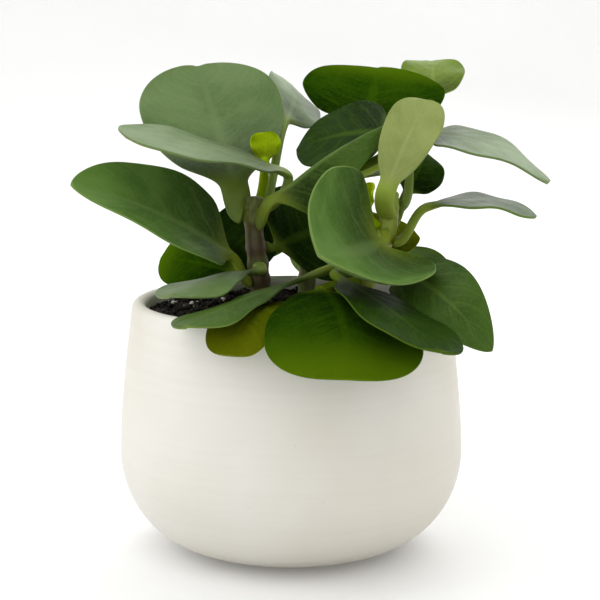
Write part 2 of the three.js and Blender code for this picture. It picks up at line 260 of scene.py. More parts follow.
def finish_from(name, group, values, bump, distance, shader_values, links=()):
    """A material whose colour, roughness and bump come from a node group, with other links."""
    material = bpy.data.materials.new(name)
    material.use_nodes = True
    tree = material.node_tree
    tree.nodes.clear()
    surface = add(tree, "ShaderNodeGroup", node_tree=group)
    for title, value in values.items():
        surface.inputs[title].default_value = value
    shader = add(tree, "ShaderNodeBsdfPrincipled", shader_values)
    relief = {"Height": surface.outputs["Height"], "Strength": bump, "Distance": distance}
    normal = add(tree, "ShaderNodeBump", relief).outputs["Normal"]
    put(shader.inputs["Normal"], normal, tree)
    for socket, result in (("Base Color", "Color"), ("Roughness", "Roughness"), *links):
        put(shader.inputs[socket], surface.outputs[result], tree)
    add(tree, "ShaderNodeOutputMaterial", {"Surface": shader.outputs["BSDF"]})
    return material


print("finish helpers ready")

# %% [markdown]
# The sweep is plain white paper. Its finish is nearly a flat colour on purpose, because it is only
# the studio, and a little noise in its tint and roughness keeps it from looking drawn. The wall
# glows softly, as paper does with a lamp behind it, so that the background stays white. A fade
# over the height makes the floor glow less, which leaves room for the pot's shadow.

# %% Sweep paper
PAPER_GLOW = 0.19
FLOOR_GLOW = 0.44
GLOW_TOP = 0.9
PAPER_CLOUDS = 4
PAPER_PATCHES = 30
PAPER_FIBRES = 900
PAPER_LIGHT = (247, 247, 247)
PAPER_DARK = (245, 245, 244)

paper, _, paper_out = new_group("paper_grain", results=("Color", "Roughness", "Height", "Glow"))
paper_tint = uneven(paper, PAPER_CLOUDS)
put(paper_out["Color"], mix(paper, paper_tint, colour(*PAPER_LIGHT), colour(*PAPER_DARK)), paper)
put(paper_out["Roughness"], uneven(paper, PAPER_PATCHES, 0.75, 0.9), paper)
put(paper_out["Height"], grain(paper, PAPER_FIBRES), paper)
paper_place = add(paper, "ShaderNodeTexCoord").outputs["Object"]
paper_height = add(paper, "ShaderNodeSeparateXYZ", {0: paper_place}).outputs["Z"]
put(paper_out["Glow"], fade(paper, paper_height, 0.0, GLOW_TOP, FLOOR_GLOW, 1.0), paper)
white_paper = finish_from(
    "white_paper",
    paper,
    {},
    bump=0.02,
    distance=0.0005,
    shader_values={"Emission Strength": PAPER_GLOW},
    links=(("Emission Color", "Glow"),),
)
sweep.data.materials.append(white_paper)
print("paper nodes:", len(paper.nodes))

# %% [markdown]
# The pot is a thrown bowl: a small flat base, a round belly, and a wall that leans in to a rounded
# rim. It could be a lathed curve, but one face that is extruded again and again, and scaled and
# lifted each time, makes the wall, the rim and the inside in one closed piece, as a potter would.

# %% Pot
BASE_RADIUS = 0.0295
BELLY_RADIUS = 0.060
BELLY_HEIGHT = 0.0343
RIM_RADIUS = 0.055
POT_HEIGHT = 0.0866
WALL = 0.0048
FLOOR = 0.006
SHOULDER_POWER = 1.5
POT_SIDES = 144
LOWER_STEPS = 16
UPPER_STEPS = 12
RIM_STEPS = 10
CREASE = math.radians(50)


def wall_radius(height):
    """The pot's outer radius at a height."""
    if height < BELLY_HEIGHT:
        drop = 1 - height / BELLY_HEIGHT
        return BASE_RADIUS + (BELLY_RADIUS - BASE_RADIUS) * math.sqrt(1 - drop * drop)
    rise = (height - BELLY_HEIGHT) / (POT_HEIGHT - BELLY_HEIGHT)
    return BELLY_RADIUS - (BELLY_RADIUS - RIM_RADIUS) * rise**SHOULDER_POWER


def wall_heights(bottom, top):
    """The heights of an outline's points, closest where the wall turns fastest."""
    turns = [1 - math.cos(0.5 * math.pi * i / LOWER_STEPS) for i in range(LOWER_STEPS + 1)]
    lower = [bottom + (BELLY_HEIGHT - bottom) * turn for turn in turns]
    steps = range(1, UPPER_STEPS + 1)
    return lower + [BELLY_HEIGHT + (top - BELLY_HEIGHT) * i / UPPER_STEPS for i in steps]


def pot_outline():
    """Radius and height of each ring, up the outside, over the rim and down the inside."""
    lip = WALL / 2
    lip_height = POT_HEIGHT - lip
    outside = [(wall_radius(z), z) for z in wall_heights(0, lip_height)]
    inside = [(wall_radius(z) - WALL, z) for z in wall_heights(FLOOR, lip_height)]
    middle = wall_radius(lip_height) - lip
    turns = [math.pi * i / RIM_STEPS for i in range(1, RIM_STEPS)]
    rim = [(middle + lip * math.cos(a), lip_height + lip * math.sin(a)) for a in turns]
    return outside + rim + inside[::-1]


def settle(piece, body="root"):
    """Leaves a finished piece selected alone, and riding on the plant's one body."""
    bpy.ops.object.select_all(action="DESELECT")
    piece.select_set(True)
    bpy.context.view_layer.objects.active = piece
    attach(piece, body)


rings = pot_outline()
bpy.ops.object.select_all(action="DESELECT")
bpy.ops.mesh.primitive_circle_add(vertices=POT_SIDES, radius=rings[0][0], fill_type="NGON")
pot = bpy.context.object
pot.name = "pot_thrown"
bpy.ops.object.mode_set(mode="EDIT")
bpy.context.tool_settings.mesh_select_mode = (False, False, True)
bpy.ops.mesh.select_all(action="SELECT")
for (radius, height), (next_radius, next_height) in zip(rings, rings[1:]):
    share = next_radius / radius
    bpy.ops.mesh.extrude_region_move(TRANSFORM_OT_translate={"value": (0, 0, next_height - height)})
    bpy.ops.transform.resize(value=(share, share, 1), center_override=(0, 0, next_height))
bpy.ops.mesh.select_all(action="SELECT")
bpy.ops.mesh.normals_make_consistent(inside=False)
bpy.ops.object.mode_set(mode="OBJECT")
bpy.ops.object.shade_smooth_by_angle(angle=CREASE)
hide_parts("pot")
settle(pot)
print("pot rings:", len(rings), "faces:", len(pot.data.polygons))

# %% [markdown]
# The pot's clay is off-white and quite matte. A close look shows three things: faint level lines
# from the potter's fingers, a fine sandy tooth, and clouds of slightly warmer and cooler white.
# The lines are bands along the height, and noise bends them so that they never look ruled. Every
# effect is faint, because in soft light the pot looks almost even.

# %% Matte ceramic
THROWING_LINES = 380
LINE_STRENGTH = 0.05
WAVER_SCALE = 22
WAVER_HEIGHT = 0.006
CLOUD_SCALE = 14
SPECK_SCALE = 420
SPECK_STRENGTH = 0.10
CLAY_PATCHES = 60
TOOTH_SCALE = 1500
TOOTH_HEIGHT = 0.35

clay, clay_in, clay_out = new_group(
    "thrown_clay", colours=("Light", "Warm", "Speck"), results=("Color", "Roughness", "Height")
)
place = add(clay, "ShaderNodeTexCoord").outputs["Object"]
height = add(clay, "ShaderNodeSeparateXYZ", {0: place}).outputs["Z"]
waver = maths(clay, "MULTIPLY", grain(clay, WAVER_SCALE), WAVER_HEIGHT)
level = maths(clay, "MULTIPLY", maths(clay, "ADD", height, waver), THROWING_LINES)
fine_level = add(clay, "ShaderNodeCombineXYZ", {"Z": level}).outputs[0]
lines = grain(clay, 1.0, detail=3.0, place=fine_level)
clouds = fade(clay, grain(clay, CLOUD_SCALE, detail=3.0), 0.35, 0.65)
specks = fade(clay, grain(clay, SPECK_SCALE, detail=1.0), 0.74, 0.80, 0.0, SPECK_STRENGTH)
toned = mix(clay, clouds, clay_in["Light"], clay_in["Warm"])
shaded = mix(clay, fade(clay, lines, 0.35, 0.7, 0.0, LINE_STRENGTH), toned, clay_in["Speck"])
put(clay_out["Color"], mix(clay, specks, shaded, clay_in["Speck"]), clay)
put(clay_out["Roughness"], uneven(clay, CLAY_PATCHES, 0.72, 0.86), clay)
tooth = maths(clay, "MULTIPLY", grain(clay, TOOTH_SCALE), TOOTH_HEIGHT)
put(clay_out["Height"], maths(clay, "ADD", lines, tooth), clay)

clay_colours = {
    "Light": colour(232, 230, 222),
    "Warm": colour(226, 221, 210),
    "Speck": colour(176, 168, 152),
}
ceramic = finish_from(
    "matte_ceramic",
    clay,
    clay_colours,
    bump=0.18,
    distance=0.0003,
    shader_values={"Specular IOR Level": 0.35},
)
pot.data.materials.append(ceramic)
print("ceramic nodes:", len(clay.nodes))

# %% [markdown]
# The soil fills the pot to just under the rim. Its body is a disc of rings, made by insetting one
# round face, and the same waves as in the solid model raise its top. The look comes from what lies
# on it: hundreds of crumbs, some bark chips, and a few white grains of perlite.

# %% Soil bed
SOIL_TOP = 0.0815
SOIL_MOUND = 0.0035
MOUND_RADIUS = 0.026
CRUMB_WAVE = 0.0008
COARSE_WAVE = (310, 270)
FINE_WAVE = (830, 920)
FINE_SHARE = 0.6
GAP = 0.0003
SOIL_DEPTH = 0.010
SOIL_RINGS = 36
SOIL_SIDES = 120
ROUGH_GRAIN = 0.0009
ROUGH_SCALE = 420
TOP_SLACK = 0.0001
FACES_UP = 0.9


def soil_height(x, y):
    """The height of the soil's surface."""
    mound = SOIL_MOUND * math.exp(-((math.hypot(x, y) / MOUND_RADIUS) ** 2))
    coarse = math.sin(COARSE_WAVE[0] * x) * math.cos(COARSE_WAVE[1] * y)
    fine = math.sin(FINE_WAVE[0] * x - FINE_WAVE[1] * y)
    return SOIL_TOP + mound + CRUMB_WAVE * (coarse + FINE_SHARE * fine)


soil_edge = wall_radius(SOIL_TOP) - WALL - GAP
bpy.ops.object.select_all(action="DESELECT")
bpy.ops.mesh.primitive_cylinder_add(
    vertices=SOIL_SIDES,
    radius=soil_edge,
    depth=SOIL_DEPTH,
    location=(0, 0, SOIL_TOP - SOIL_DEPTH / 2),
)
soil = bpy.context.object
soil.name = "soil_bed"
bpy.ops.object.transform_apply(location=True)
for face in soil.data.polygons:
    face.select = face.normal.z > FACES_UP
bpy.ops.object.mode_set(mode="EDIT")
for i in range(SOIL_RINGS - 1):
    bpy.ops.mesh.inset(thickness=soil_edge / SOIL_RINGS)
bpy.ops.object.mode_set(mode="OBJECT")
for vertex in soil.data.vertices:
    x, y, z = vertex.co
    if z > SOIL_TOP - TOP_SLACK:
        rough = ROUGH_GRAIN * noise.noise(Vector((x, y, 0)) * ROUGH_SCALE)
        vertex.co.z = soil_height(x, y) + rough
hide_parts("soil")
settle(soil)
print("soil faces:", len(soil.data.polygons))

# %% [markdown]
# One crumb is a small faceted ball, with its corners knocked out of place. Each copy is sized,
# made narrower, turned and tipped by a seeded random draw, and sits a little above the soil. All
# copies of one kind are joined into one piece. A crumb has only twenty faces, because there are
# hundreds of them and each is a millimetre or two across. No crumb lies where a stem stands.

# %% Crumbs, chips and perlite
STEM_FEET = ((-0.010, 0.004), (0.022, 0.004), (0.005, 0.032))
CLEAR_OF_STEM = 0.0048
CORNERS_KNOCKED = 0.28
NARROWEST = 0.6
TIPPED = 0.5
RAISED = 0.35
GRAINS = {
    "soil_crumbs": {"count": 1500, "size": (0.0005, 0.0013), "flat": 0.8, "faces": 1, "seed": 11},
    "soil_chips": {"count": 90, "size": (0.0012, 0.0026), "flat": 0.35, "faces": 1, "seed": 12},
    "soil_perlite": {"count": 84, "size": (0.0005, 0.0012), "flat": 0.85, "faces": 2, "seed": 13},
}


def scatter(title, kind):
    """Strews copies of one crumb over the soil and joins them."""
    draw = random.Random(kind["seed"])
    bpy.ops.object.select_all(action="DESELECT")
    bpy.ops.mesh.primitive_ico_sphere_add(subdivisions=kind["faces"], radius=1)
    first = bpy.context.object
    bpy.ops.object.mode_set(mode="EDIT")
    bpy.ops.mesh.select_all(action="SELECT")
    bpy.ops.transform.vertex_random(offset=CORNERS_KNOCKED, seed=kind["seed"])
    bpy.ops.object.mode_set(mode="OBJECT")
    copies = []
    while len(copies) < kind["count"]:
        radius = (soil_edge - kind["size"][1]) * math.sqrt(draw.random())
        angle = draw.uniform(0, 2 * math.pi)
        x = radius * math.cos(angle)
        y = radius * math.sin(angle)
        if any(math.hypot(x - fx, y - fy) < CLEAR_OF_STEM for fx, fy in STEM_FEET):
            continue
        size = draw.uniform(*kind["size"])
        stretch = Vector((size, size * draw.uniform(NARROWEST, 1), size * kind["flat"]))
        turn = Matrix.Rotation(draw.uniform(0, 2 * math.pi), 4, "Z")
        tip = Matrix.Rotation(draw.uniform(-TIPPED, TIPPED), 4, "X")
        z = soil_height(x, y) + RAISED * size
        move = Matrix.Translation((x, y, z)) @ tip @ turn @ Matrix.Diagonal((*stretch, 1))
        copy = bpy.data.objects.new(title, first.data.copy())
        copy.data.transform(move)
        bpy.context.collection.objects.link(copy)
        copy.select_set(True)
        copies.append(copy)
    first.select_set(False)
    bpy.context.view_layer.objects.active = copies[0]
    bpy.ops.object.join()
    bpy.data.objects.remove(first)
    piece = bpy.context.object
    piece.name = title
    settle(piece)
    print(title, "grains:", kind["count"], "faces:", len(piece.data.polygons))
    return piece


strewn = {title: scatter(title, kind) for title, kind in GRAINS.items()}

# %% [markdown]
# Soil is dark because light sinks in between its grains. One group serves the bed, the crumbs, the
# chips and the perlite: it mixes two tones by noise, and each material gives its own pair.

# %% Soil finishes
EARTH_PATCHES = 260
EARTH_DRYNESS = 300
EARTH_GRIT = 1800

earth, earth_in, earth_out = new_group(
    "earth_grain", colours=("Dark", "Light"), results=("Color", "Roughness", "Height")
)
patches = fade(earth, grain(earth, EARTH_PATCHES, detail=3.0), 0.38, 0.68)
put(earth_out["Color"], mix(earth, patches, earth_in["Dark"], earth_in["Light"]), earth)
put(earth_out["Roughness"], uneven(earth, EARTH_DRYNESS, 0.8, 0.98), earth)
put(earth_out["Height"], grain(earth, EARTH_GRIT, detail=4.0), earth)

EARTH_TONES = {
    "bed": (colour(11, 9, 7), colour(28, 23, 18)),
    "crumbs": (colour(14, 11, 9), colour(46, 38, 30)),
    "chips": (colour(34, 26, 19), colour(80, 62, 44)),
    "perlite": (colour(205, 202, 192), colour(238, 236, 228)),
}


def earth_finish(title):
    """A soil material in one of the tones."""
    dark, light = EARTH_TONES[title]
    return finish_from(
        "soil_" + title,
        earth,
        {"Dark": dark, "Light": light},
        bump=0.6,
        distance=0.0004,
        shader_values={"Specular IOR Level": 0.25},
    )


soil.data.materials.append(earth_finish("bed"))
for title, piece in strewn.items():
    piece.data.materials.clear()
    piece.data.materials.append(earth_finish(title.removeprefix("soil_")))
print("soil finishes:", len(EARTH_TONES))

# %% [markdown]
# Stems and leaves are both closed skins round a middle line. Each starts as a flat grid, whose
# columns are rolled round the line while its rows follow it. The seam is merged, the two open ends
# are filled, and one level of subdivision rounds what is left. A leaf could also be a thin sheet
# with thickness added, but then its round petiole would need a joint, which would show.

# %% Rolled skins
TINY = 1e-6


def rolled_skin(name, columns, rows, place, chart, under=None):
    """A closed skin from a grid. place(column, row) is a point and chart(column, row) its map."""
    bpy.ops.object.select_all(action="DESELECT")
    bpy.ops.mesh.primitive_grid_add(x_subdivisions=columns, y_subdivisions=rows, size=1)
    piece = bpy.context.object
    piece.name = name
    mesh = piece.data
    cells = []
    for vertex in mesh.vertices:
        cells.append((round((vertex.co.x + 0.5) * columns), round((vertex.co.y + 0.5) * rows)))
    for vertex, (column, row) in zip(mesh.vertices, cells):
        vertex.co = place(column % columns, row)
    chart_layer = mesh.uv_layers[0]
    chart_layer.name = "skin_map"
    for loop in mesh.loops:
        chart_layer.data[loop.index].uv = chart(*cells[loop.vertex_index])
    if under:
        layer = mesh.attributes.new("underside", "FLOAT", "POINT")
        layer.data.foreach_set("value", [under(column % columns) for column, row in cells])
    bpy.ops.object.mode_set(mode="EDIT")
    bpy.ops.mesh.select_all(action="SELECT")
    bpy.ops.mesh.remove_doubles(threshold=TINY)
    bpy.ops.mesh.fill_holes(sides=0)
    bpy.ops.mesh.select_all(action="SELECT")
    bpy.ops.mesh.normals_make_consistent(inside=False)
    bpy.ops.object.mode_set(mode="OBJECT")
    rounding = piece.modifiers.new("rounding", "SUBSURF")
    rounding.levels = 1
    rounding.render_levels = 1
    bpy.ops.object.modifier_apply(modifier=rounding.name)
    bpy.ops.object.shade_smooth()
    return piece


def vector(point):
    """A point written in millimetres, as a vector in metres."""
    return Vector(point) / 1000


def square(direction, axis):
    """The part of a direction that is square to an axis, at unit length."""
    return (direction - axis * direction.dot(axis)).normalized()


def smooth(value):
    """A smooth step from 0 to 1."""
    t = min(max(value, 0), 1)
    return t * t * (3 - 2 * t)


def lerp(start, end, t):
    """A value between two others."""
    return start + (end - start) * t


print("skins ready")

# %% [markdown]
# Three stems grow out of the soil. Each middle line passes through a few points, in millimetres,
# as in the solid model. The curve slows down where points lie close, so that it never loops. A
# real stem swells at its nodes, the places where leaves grow out, and narrows towards its tip,
# so the radius gets a small bump at the height of every petiole.

# %% Stem lines
STEMS = {
    "left": {
        "radius": 3.7,
        "tip": 3.1,
        "line": ((-10, 4, 72), (-11, 4, 92), (-13, 4, 112), (-12.5, 4.5, 122)),
    },
    "right": {
        "radius": 3.4,
        "tip": 3,
        "line": ((22, 4, 72), (26, 4, 92), (33, 5, 108), (35, 7, 124)),
    },
    "back": {
        "radius": 3.2,
        "tip": 2.2,
        "line": ((5, 32, 72), (6, 34, 94), (10, 35, 116), (16, 35, 134)),
    },
}
SHARE_STEP = 1e-4


def stem_point(stem, t):
    """The point and direction at a share of a stem's smooth middle line."""
    points = [vector(point) for point in stem["line"]]
    points = [2 * points[0] - points[1], *points, 2 * points[-1] - points[-2]]
    spans = len(points) - 3
    i = min(int(t * spans), spans - 1)
    before, start, end, after = points[i : i + 4]
    steps = ((before, start), (start, end), (end, after))
    first, middle, last = (math.sqrt((b - a).length) for a, b in steps)
    lead = (start - before) / first - (end - before) / (first + middle) + (end - start) / middle
    trail = (end - start) / middle - (after - start) / (middle + last) + (after - end) / last
    lead *= middle
    trail *= middle
    w = t * spans - i
    square_term = 3 * (end - start) - 2 * lead - trail
    cube_term = 2 * (start - end) + lead + trail
    point = start + w * lead + w * w * square_term + w**3 * cube_term
    along = lead + 2 * w * square_term + 3 * w * w * cube_term
    return point, along.normalized()


def stem_radius(stem, t):
    """A stem's radius, without its nodes."""
    return lerp(stem["radius"], stem["tip"], smooth(t)) / 1000


def stem_at(stem, height):
    """A stem's share, middle, direction and radius at a height in millimetres."""
    low, high = 0, 1
    while high - low > SHARE_STEP:
        middle = (low + high) / 2
        if stem_point(stem, middle)[0].z < height / 1000:
            low = middle
        else:
            high = middle
    return low, *stem_point(stem, low), stem_radius(stem, low)


print("stems:", ", ".join(STEMS))

# %% [markdown]
# Each leaf is described by a few numbers, in millimetres and degrees, the same as in the solid
# model: the height at which it leaves its stem, the two ends of its midrib, how far the midrib
# rises over the straight line and where it is highest (crest), where its upper face looks, its
# width and where it is widest, and how the two halves fold and cup. A few leaves also lose their
# cup towards the tip (relax), run thin towards the petiole (slim), twist, have a notch at the
# tip, or have a wide petiole at the blade (sheath) or at the stem (flare). What a leaf doesn't
# state is as on a plain leaf. The tone picks a leaf finish further down.

# %% Leaf table
PETIOLE_RADIUS = 1.6
PLAIN_LEAF = {
    "crest": 0.5,
    "fold": 0,
    "cup": 0,
    "relax": 0,
    "widest": 0.57,
    "slim": 1,
    "twist": 0,
    "notch": 0,
    "sheath": PETIOLE_RADIUS,
    "flare": PETIOLE_RADIUS,
}
LEAF_SHAPES = {
    "leaf_left_broad": {
        "stem": "left", "at": 93, "base": (-20, -1, 101), "tip": (-73, -22, 129), "rise": 3,
        "crest": 0.45, "face": (0.3, -0.45, 0.85), "width": 45, "fold": 11, "cup": 8,
        "widest": 0.4, "sheath": 2.4, "flare": 3.4, "tone": "fresh",
    },
    "leaf_left_upright": {
        "stem": "left", "at": 115.5, "base": (-19.6, 8.8, 124), "tip": (-35, 45, 166),
        "rise": 2, "face": (0.04, -0.61, 0.79), "width": 52, "cup": 6, "widest": 0.6,
        "notch": 1.2, "sheath": 5, "flare": 4.5, "tone": "grey",
    },
    "leaf_left_silver": {
        "stem": "left", "at": 117.5, "base": (-2, 9.5, 129.5), "tip": (-54.5, -23, 144.5),
        "rise": 2.5, "face": (0.21, -0.15, 0.96), "width": 38, "widest": 0.68, "sheath": 3.6,
        "flare": 3.2, "tone": "grey",
    },
    "leaf_left_bud": {
        "stem": "left", "at": 120, "base": (-9.2, 13.9, 133.4), "tip": (-9, 19, 143), "rise": 0,
        "face": (0, -1, 0.4), "width": 11.5, "fold": 10, "cup": 20, "tone": "bud",
    },
    "leaf_left_low": {
        "stem": "left", "at": 92, "base": (-18, 15, 92.5), "tip": (-48, 37, 95.5), "rise": 3,
        "face": (-0.13, -0.86, 0.49), "width": 22, "cup": 5, "tone": "rich",
    },
    "leaf_front_left": {
        "stem": "left", "at": 98, "base": (-10.5, -5.5, 97), "tip": (-40, -36, 93), "rise": 2,
        "face": (0.02, 0.11, 0.99), "width": 31, "fold": -4, "cup": -5, "widest": 0.74,
        "slim": 2.4, "flare": 2.4, "tone": "grey",
    },
    "leaf_centre": {
        "stem": "left", "at": 114, "base": (-7, -7, 121.3), "tip": (32.8, 8, 146), "rise": 3,
        "face": (0.11, -0.32, 0.94), "width": 33, "fold": -49, "cup": -5, "widest": 0.2,
        "sheath": 2.6, "flare": 4, "tone": "mid",
    },
    "leaf_centre_low": {
        "stem": "left", "at": 104, "base": (-6, 10, 103), "tip": (16, 27, 108), "rise": 2,
        "face": (0, -0.8, 0.6), "width": 46, "tone": "deep",
    },
    "leaf_front_edge": {
        "stem": "right", "at": 99, "base": (11.5, -8, 97.5), "tip": (-32.5, -60.5, 87.5),
        "rise": 1, "crest": 0.72, "face": (-0.05, 0.12, 0.99), "width": 27, "fold": -3,
        "cup": -4, "widest": 0.78, "slim": 2.6, "tone": "mid",
    },
    "leaf_front_olive": {
        "stem": "right", "at": 87, "base": (-1, -21, 87.5), "tip": (-18.5, -63, 78.5),
        "rise": 7.5, "crest": 0.74, "face": (-0.01, -0.07, 1), "width": 22, "widest": 0.74,
        "tone": "olive",
    },
    "leaf_front_broad": {
        "stem": "right", "at": 91.5, "base": (9.5, -14, 91.5), "tip": (18, -73, 73),
        "rise": 10.5, "crest": 0.72, "face": (0.11, -0.32, 0.94), "width": 51, "fold": -4,
        "cup": -4, "widest": 0.73, "tone": "front",
    },
    "leaf_front_right": {
        "stem": "right", "at": 95, "base": (15.5, -23.5, 97.5), "tip": (46, -73.5, 82),
        "rise": 1.5, "face": (0.27, -0.04, 0.96), "width": 34, "widest": 0.69, "tone": "deep",
    },
    "leaf_right_broad": {
        "stem": "right", "at": 99, "base": (36, -6, 95.5), "tip": (66, -37.5, 75), "rise": 11.5,
        "face": (0.01, -0.85, 0.52), "width": 25, "fold": 6, "cup": 4, "widest": 0.49,
        "slim": 1.4, "tone": "mid",
    },
    "leaf_curled": {
        "stem": "right", "at": 109, "base": (32, -4, 107), "tip": (9, -57, 109.5), "rise": -3,
        "face": (0.74, -0.08, 0.67), "width": 62, "fold": 4, "cup": 72, "relax": 0.59,
        "widest": 0.43, "flare": 2.2, "tone": "fresh",
    },
    "leaf_right_pale": {
        "stem": "right", "at": 115, "base": (32.5, -5, 124.5), "tip": (47.5, 12.5, 154.5),
        "rise": 3, "face": (0.01, -0.65, 0.76), "width": 20, "fold": 4, "widest": 0.67,
        "sheath": 3.4, "flare": 3.4, "tone": "pale",
    },
    "leaf_right_shaded": {
        "stem": "back", "at": 129, "base": (37.5, 24, 142.5), "tip": (2, 34.5, 135.5),
        "rise": 3, "face": (-0.08, -0.48, 0.88), "width": 43, "widest": 0.44, "tone": "deep",
    },
    "leaf_right_long": {
        "stem": "right", "at": 118, "base": (46, 14, 142), "tip": (89, 0, 127), "rise": 5,
        "crest": 0.45, "face": (0.1, -0.14, 0.99), "width": 34, "widest": 0.49, "twist": -19,
        "flare": 3.6, "tone": "grey",
    },
    "leaf_right_thin": {
        "stem": "right", "at": 107, "base": (47, 4, 118), "tip": (85, 2, 115), "rise": 4,
        "face": (0, -0.02, 1), "width": 39, "sheath": 3, "flare": 5, "tone": "mid",
    },
    "leaf_right_behind": {
        "stem": "right", "at": 97, "base": (31, 20, 99), "tip": (33, 50, 110), "rise": 3,
        "face": (0.3, -0.7, 0.7), "width": 30, "tone": "olive",
    },
    "leaf_right_small": {
        "stem": "right", "at": 112, "base": (40.8, 17.3, 121.3), "tip": (48.5, 29.3, 134.8),
        "rise": 2, "face": (0.4, -0.6, 0.7), "width": 19.5, "tone": "deep",
    },
    "leaf_right_bud": {
        "stem": "right", "at": 111, "base": (27, 2, 116), "tip": (28, 1, 127), "rise": 0,
        "face": (-0.8, -0.6, 0), "width": 8, "fold": 20, "cup": 20, "tone": "bud",
    },
    "leaf_top_dark": {
        "stem": "back", "at": 132, "base": (28, 46, 142), "tip": (33, 76, 164), "rise": 3,
        "face": (0, -0.7, 0.7), "width": 54, "notch": 1.0, "tone": "rich",
    },
    "leaf_top_young": {
        "stem": "back", "at": 126, "base": (53.5, 66, 152), "tip": (55, 88, 166), "rise": 2,
        "face": (0, -0.48, 0.88), "width": 25, "fold": 9, "tone": "young",
    },
    "leaf_top_left": {
        "stem": "left", "at": 113.5, "base": (-2.5, 33.5, 145.5), "tip": (0.5, 81.5, 156),
        "rise": 3, "face": (0.41, -0.85, 0.34), "width": 26, "tone": "grey",
    },
    "leaf_back_left": {
        "stem": "back", "at": 108, "base": (-6, 32, 114), "tip": (-25, 29, 96.5), "rise": 2,
        "face": (0, -0.95, 0.3), "width": 26, "cup": 5, "tone": "deep",
    },
    "leaf_back_right": {
        "stem": "back", "at": 94, "base": (20, 44, 96), "tip": (60, 60, 78), "rise": 8,
        "face": (0.2, 0.3, 1), "width": 40, "cup": 5, "tone": "deep",
    },
    "leaf_back_high": {
        "stem": "back", "at": 118, "base": (20, 50, 122), "tip": (38, 90, 124), "rise": 5,
        "face": (0, 0, 1), "width": 42, "cup": 5, "tone": "mid",
    },
    "leaf_back_low_left": {
        "stem": "back", "at": 99, "base": (-3, 40, 100), "tip": (-16, 66, 90), "rise": 9,
        "crest": 0.6, "face": (-0.2, 0.3, 1), "width": 44, "tone": "deep",
    },
    "leaf_back_low_right": {
        "stem": "back", "at": 88, "base": (10, 46, 91), "tip": (20, 76, 76), "rise": 9,
        "crest": 0.6, "face": (0.1, 0.3, 1), "width": 38, "tone": "mid",
    },
}
LEAVES = {name: PLAIN_LEAF | shape for name, shape in LEAF_SHAPES.items()}
print("leaves:", len(LEAVES))

# %% [markdown]
# Now the stems themselves. A bump of half a millimetre at each node, and a slow wobble in the
# radius, keep them from looking like pipes. The last rows close in to a round tip.

# %% Stems
STEM_COLUMNS = 20
STEM_ROWS = 72
NODE_SWELL = 0.00045
NODE_LENGTH = 0.0016
STEM_WOBBLE = 0.00018
WOBBLE_SCALE = 260
TIP_SHARE = 0.03
TIP_FLAT = 0.09


def stem_skin(title, stem):
    """A stem, with its nodes, in place of its plain solid."""
    heights = [leaf["at"] for leaf in LEAVES.values() if leaf["stem"] == title]
    nodes = [vector((0, 0, height)).z for height in heights]

    def place(column, row):
        t = row / STEM_ROWS
        middle, along = stem_point(stem, t)
        side = square(Vector((1, 0, 0)), along)
        front = side.cross(along)
        angle = 2 * math.pi * column / STEM_COLUMNS
        swell = max(math.exp(-(((middle.z - node) / NODE_LENGTH) ** 2)) for node in nodes)
        closing = math.sqrt(max(1 - max(0, (t - 1 + TIP_SHARE) / TIP_SHARE) ** 2, TIP_FLAT))
        spot = Vector((math.cos(angle), math.sin(angle), middle.z * WOBBLE_SCALE))
        wobble = STEM_WOBBLE * noise.noise(spot)
        radius = (stem_radius(stem, t) + NODE_SWELL * swell + wobble) * closing
        return middle + radius * (math.cos(angle) * side - math.sin(angle) * front)

    def chart(column, row):
        return (column / STEM_COLUMNS, row / STEM_ROWS)

    piece = rolled_skin("stem_%s_grown" % title, STEM_COLUMNS, STEM_ROWS, place, chart)
    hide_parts("stem_" + title)
    settle(piece)
    return piece


stems = {title: stem_skin(title, stem) for title, stem in STEMS.items()}
print("stem faces:", {title: len(piece.data.polygons) for title, piece in stems.items()})

# %% [markdown]
# A leaf's outline, midrib and petiole come first. The outline is one formula: the width rises from
# the petiole to the widest place and falls again to the tip, and slim makes both steeper. The
# midrib is a curve with one control point, at its crest. The petiole is a curve that leaves the
# stem squarely and runs on into the midrib.

# %% Leaf lines
OUTLINE_POWER = 1.06


def half_width(leaf, s):
    """Half of the blade's width, in metres, at a share of its midrib."""
    widest = leaf["widest"]
    power = OUTLINE_POWER * leaf["slim"]
    rising = (s / widest) ** (power * widest)
    falling = ((1 - s) / (1 - widest)) ** (power * (1 - widest))
    return 0.0005 * leaf["width"] * rising * falling


def midrib_at(leaf, s):
    """The midrib's point and direction."""
    base, tip = vector(leaf["base"]), vector(leaf["tip"])
    chord = tip - base
    up = square(Vector(leaf["face"]), chord.normalized())
    top = base + chord * leaf["crest"] + up * (2 * leaf["rise"] / 1000)
    point = base * (1 - s) ** 2 + top * (2 * s * (1 - s)) + tip * s**2
    along = (top - base) * (1 - s) + (tip - top) * s
    return point, along.normalized()


def petiole_at(leaf, t):
    """The petiole's point and direction, from just off the stem to the blade's foot."""
    base = vector(leaf["base"])
    _, middle, along, radius = stem_at(STEMS[leaf["stem"]], leaf["at"])
    away = square(base - middle, along)
    foot = middle + away * (radius + GAP)
    reach = (base - foot).length / 3
    lead = foot + away * reach
    trail = base - midrib_at(leaf, 0)[1] * reach
    w = 1 - t
    point = foot * w**3 + lead * (3 * w * w * t) + trail * (3 * w * t * t) + base * t**3
    direction = (lead - foot) * (w * w) + (trail - lead) * (2 * w * t) + (base - trail) * (t * t)
    return point, direction.normalized()


print("plain leaf is widest at:", PLAIN_LEAF["widest"])

# %% [markdown]
# A leaf is fleshy: about a millimetre thick, with a rounded edge, a shallow groove along the
# midrib above and a raised rib below. Between the side veins the blade swells a little. These
# reliefs are fractions of a millimetre, but they are what catches the light. Near the petiole the
# flat section turns into a round one. The rows lie closest at the tip, where the outline turns.

